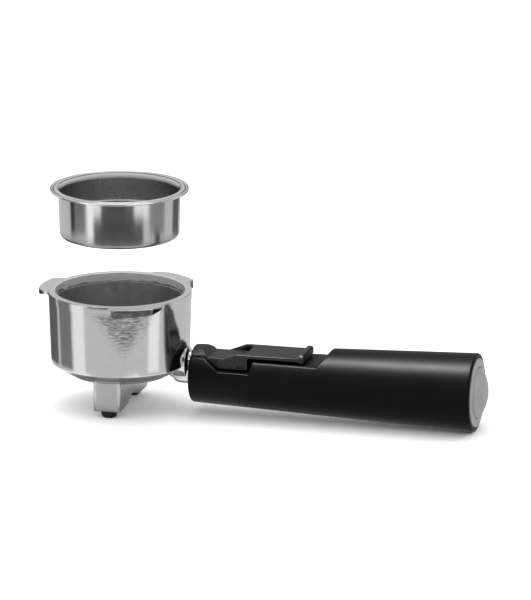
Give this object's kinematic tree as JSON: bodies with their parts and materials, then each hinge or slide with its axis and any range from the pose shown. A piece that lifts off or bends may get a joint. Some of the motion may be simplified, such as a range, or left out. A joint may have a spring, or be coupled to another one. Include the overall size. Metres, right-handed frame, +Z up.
{
  "type": "espresso portafilter",
  "caption": "Espresso filter holder with a lifted filter basket, bayonet lugs, double spout, tapered handle and a flip-over basket clip.",
  "frame": {"origin": "on the table below the middle of the whole object's length and width; the cup's axis is 63.6 mm towards -X", "axes": "+Z up, +X from the cup along the handle to its end cap, +Y across"},
  "size_m": [0.1982, 0.0694, 0.0975],
  "materials": {
    "cup_aluminium": "polished casting outside, satin rim, rough-cast inside",
    "spout_aluminium": "fine satin casting",
    "basket_stainless": "polished pressed sheet",
    "handle_black": "satin moulded",
    "lever_black": "finely textured moulded",
    "cap_silver": "silver metallic paint",
    "black_rubber": "soft matt",
    "zinc_steel": "zinc plated"
  },
  "bodies": {
    "holder": {"holder_cup": "cup_aluminium", "spout_block": "spout_aluminium", "spout_gasket": "black_rubber", "spout_screw": "zinc_steel", "spout_screw_washer": "zinc_steel", "outlet_tip_front": "black_rubber", "outlet_tip_rear": "black_rubber", "handle_shell": "handle_black", "lever_carrier": "lever_black", "carrier_screw": "zinc_steel", "tie_bolt": "zinc_steel", "tie_bolt_washer": "zinc_steel", "tie_bolt_lock_washer": "zinc_steel", "end_cap": "cap_silver", "end_cap_ring": "black_rubber", "clip_pin": "zinc_steel"},
    "basket": {"filter_basket": "basket_stainless", "basket_screen": "basket_stainless"},
    "clip": {"clip_lever": "lever_black"}
  },
  "joints": [
    {"name": "basket_lift", "type": "slide", "parent": "holder", "child": "basket", "axis": [0, 0, 1], "range_m": [-0.044, 0.02]},
    {"name": "clip_flip", "type": "hinge", "parent": "holder", "child": "clip", "pos_m": [-0.0161, 0, 0.024], "axis": [0, -1, 0], "range_deg": [0, 111]}
  ]
}
